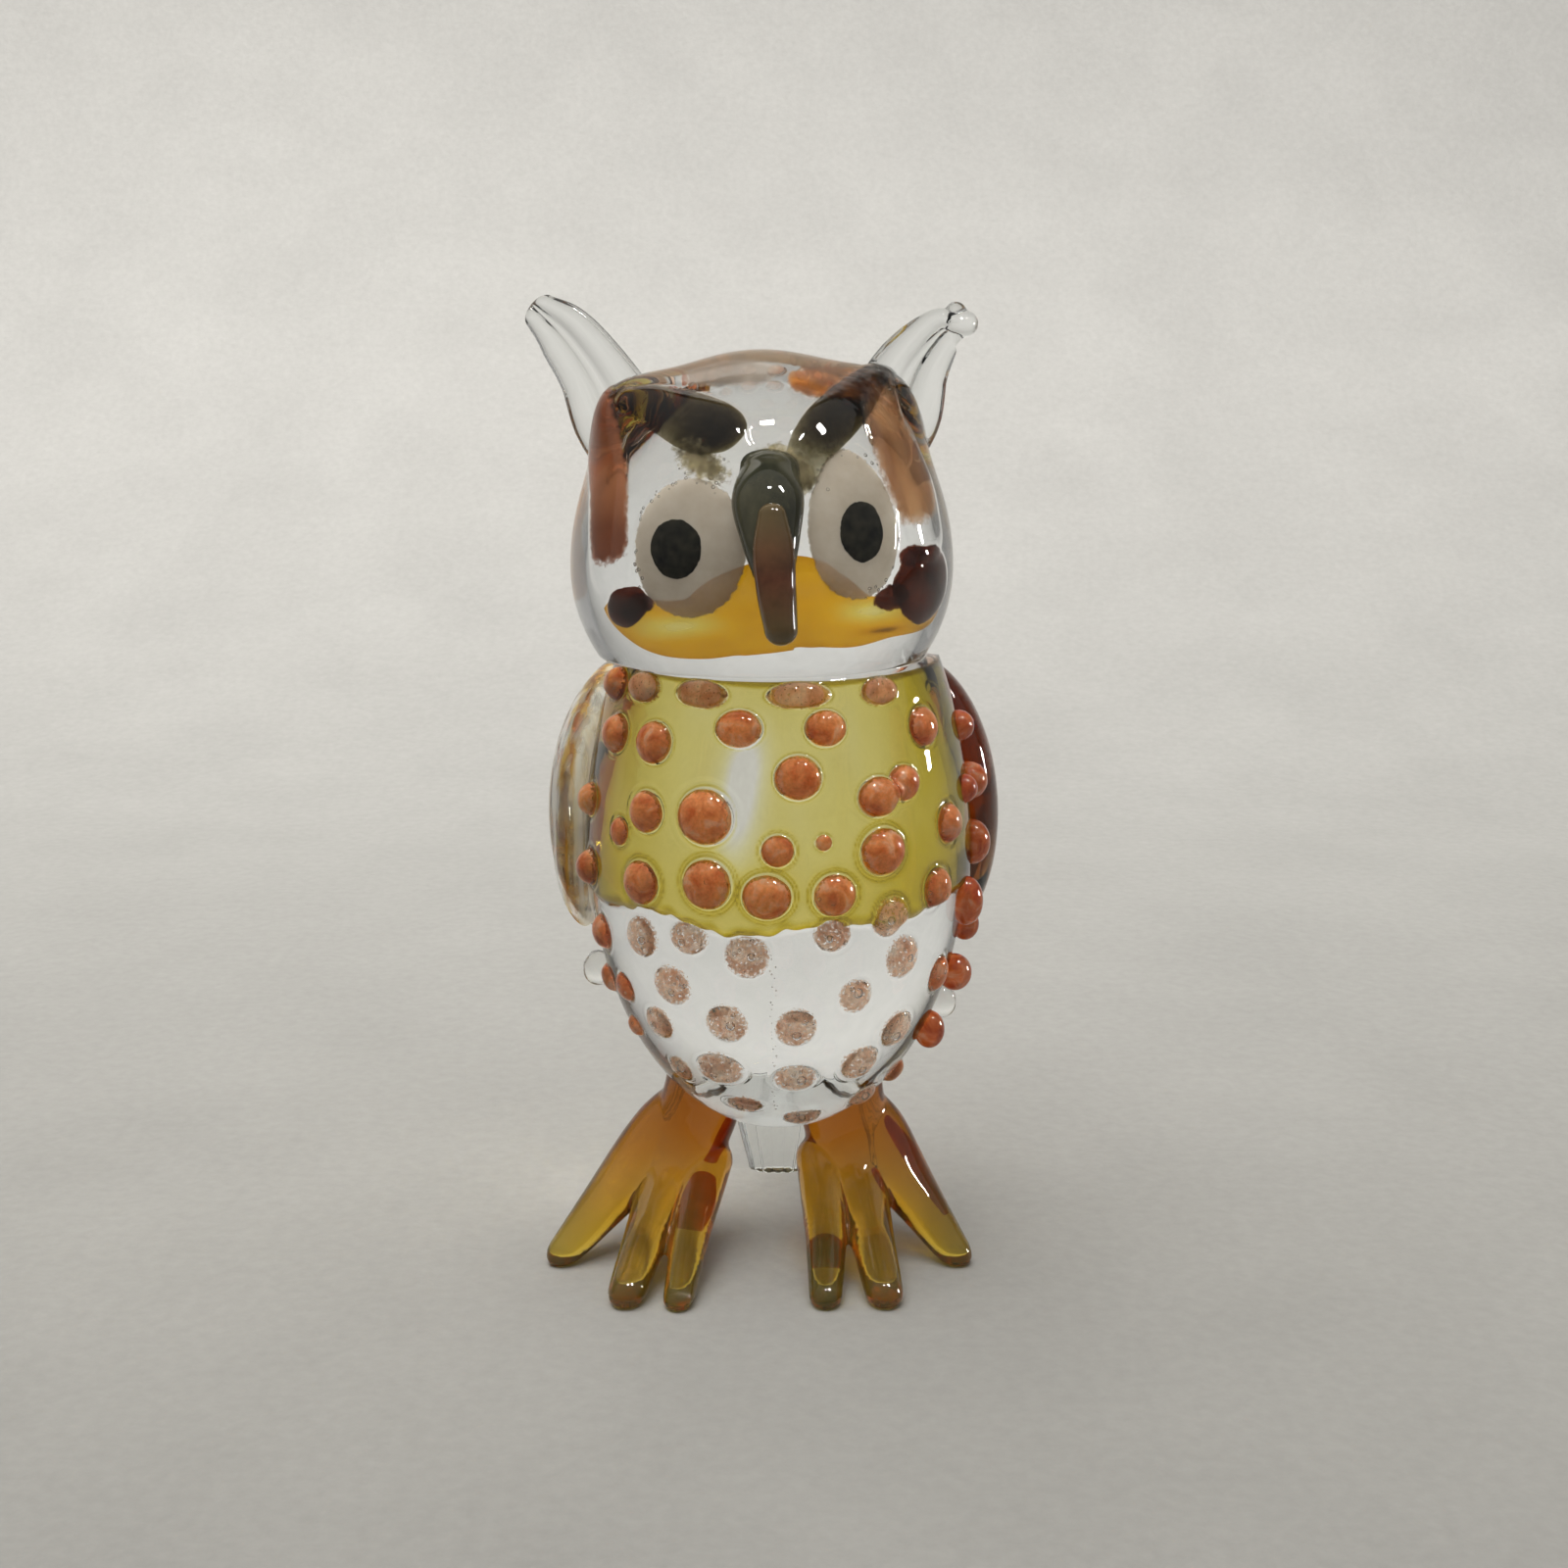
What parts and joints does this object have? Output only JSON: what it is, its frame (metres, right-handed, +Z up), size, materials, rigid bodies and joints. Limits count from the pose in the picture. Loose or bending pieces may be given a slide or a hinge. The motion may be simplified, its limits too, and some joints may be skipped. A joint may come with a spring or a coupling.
{
  "type": "glass owl figurine",
  "caption": "Lampworked clear glass owl with yellow breast, orange frit drops, eared head, side wings, amber three-toed legs and a short tail it also stands on.",
  "frame": {"origin": "middle of the figurine's footprint box, on the plane it stands on", "axes": "+Z up, the owl faces -Y, +X to the right of a viewer who looks at its face"},
  "size_m": [0.0356, 0.0336, 0.0731],
  "materials": {
    "clear_glass": "clear, fire-polished",
    "yellow_glass": "transparent yellow, fire-polished",
    "orange_frit": "orange-brown powder glass under clear glass",
    "amber_glass": "transparent amber, fire-polished",
    "brown_glass": "transparent dark brown, fire-polished",
    "olive_glass": "dark olive, fire-polished",
    "opal_glass": "milky grey, fire-polished",
    "black_glass": "black, fire-polished"
  },
  "bodies": {
    "root": {"beak_drop": "brown_glass", "beak_root": "olive_glass", "body_gather": "clear_glass", "breast_casing": "yellow_glass", "chin_patch": "yellow_glass", "crown_band": "brown_glass", "frit_drop_01": "orange_frit", "frit_drop_02": "orange_frit", "frit_drop_03": "orange_frit", "frit_drop_04": "orange_frit", "frit_drop_05": "orange_frit", "frit_drop_06": "orange_frit", "frit_drop_07": "orange_frit", "frit_drop_08": "orange_frit", "frit_drop_09": "orange_frit", "frit_drop_10": "orange_frit", "frit_drop_11": "orange_frit", "frit_drop_12": "orange_frit", "frit_drop_13": "orange_frit", "frit_drop_14": "orange_frit", "frit_drop_15": "orange_frit", "frit_drop_16": "orange_frit", "frit_drop_17": "orange_frit", "frit_drop_18": "orange_frit", "frit_drop_19": "orange_frit", "frit_drop_20": "orange_frit", "frit_drop_21": "orange_frit", "frit_drop_22": "orange_frit", "frit_drop_23": "orange_frit", "frit_drop_24": "orange_frit", "frit_drop_25": "orange_frit", "frit_drop_26": "orange_frit", "frit_drop_27": "orange_frit", "frit_drop_28": "orange_frit", "head_gather": "clear_glass", "left_brow": "olive_glass", "left_cheek_spot": "brown_glass", "left_ear": "clear_glass", "left_eye_disc": "opal_glass", "left_inner_toe": "amber_glass", "left_leg": "amber_glass", "left_middle_toe": "amber_glass", "left_outer_toe": "amber_glass", "left_pupil": "black_glass", "left_temple_stripe": "brown_glass", "left_wing": "brown_glass", "left_wing_bead": "clear_glass", "right_brow": "olive_glass", "right_cheek_spot": "brown_glass", "right_ear": "clear_glass", "right_eye_disc": "opal_glass", "right_inner_toe": "amber_glass", "right_leg": "amber_glass", "right_middle_toe": "amber_glass", "right_outer_toe": "amber_glass", "right_pupil": "black_glass", "right_temple_stripe": "brown_glass", "right_wing": "brown_glass", "right_wing_bead": "clear_glass", "tail_plume": "clear_glass"}
  },
  "joints": []
}
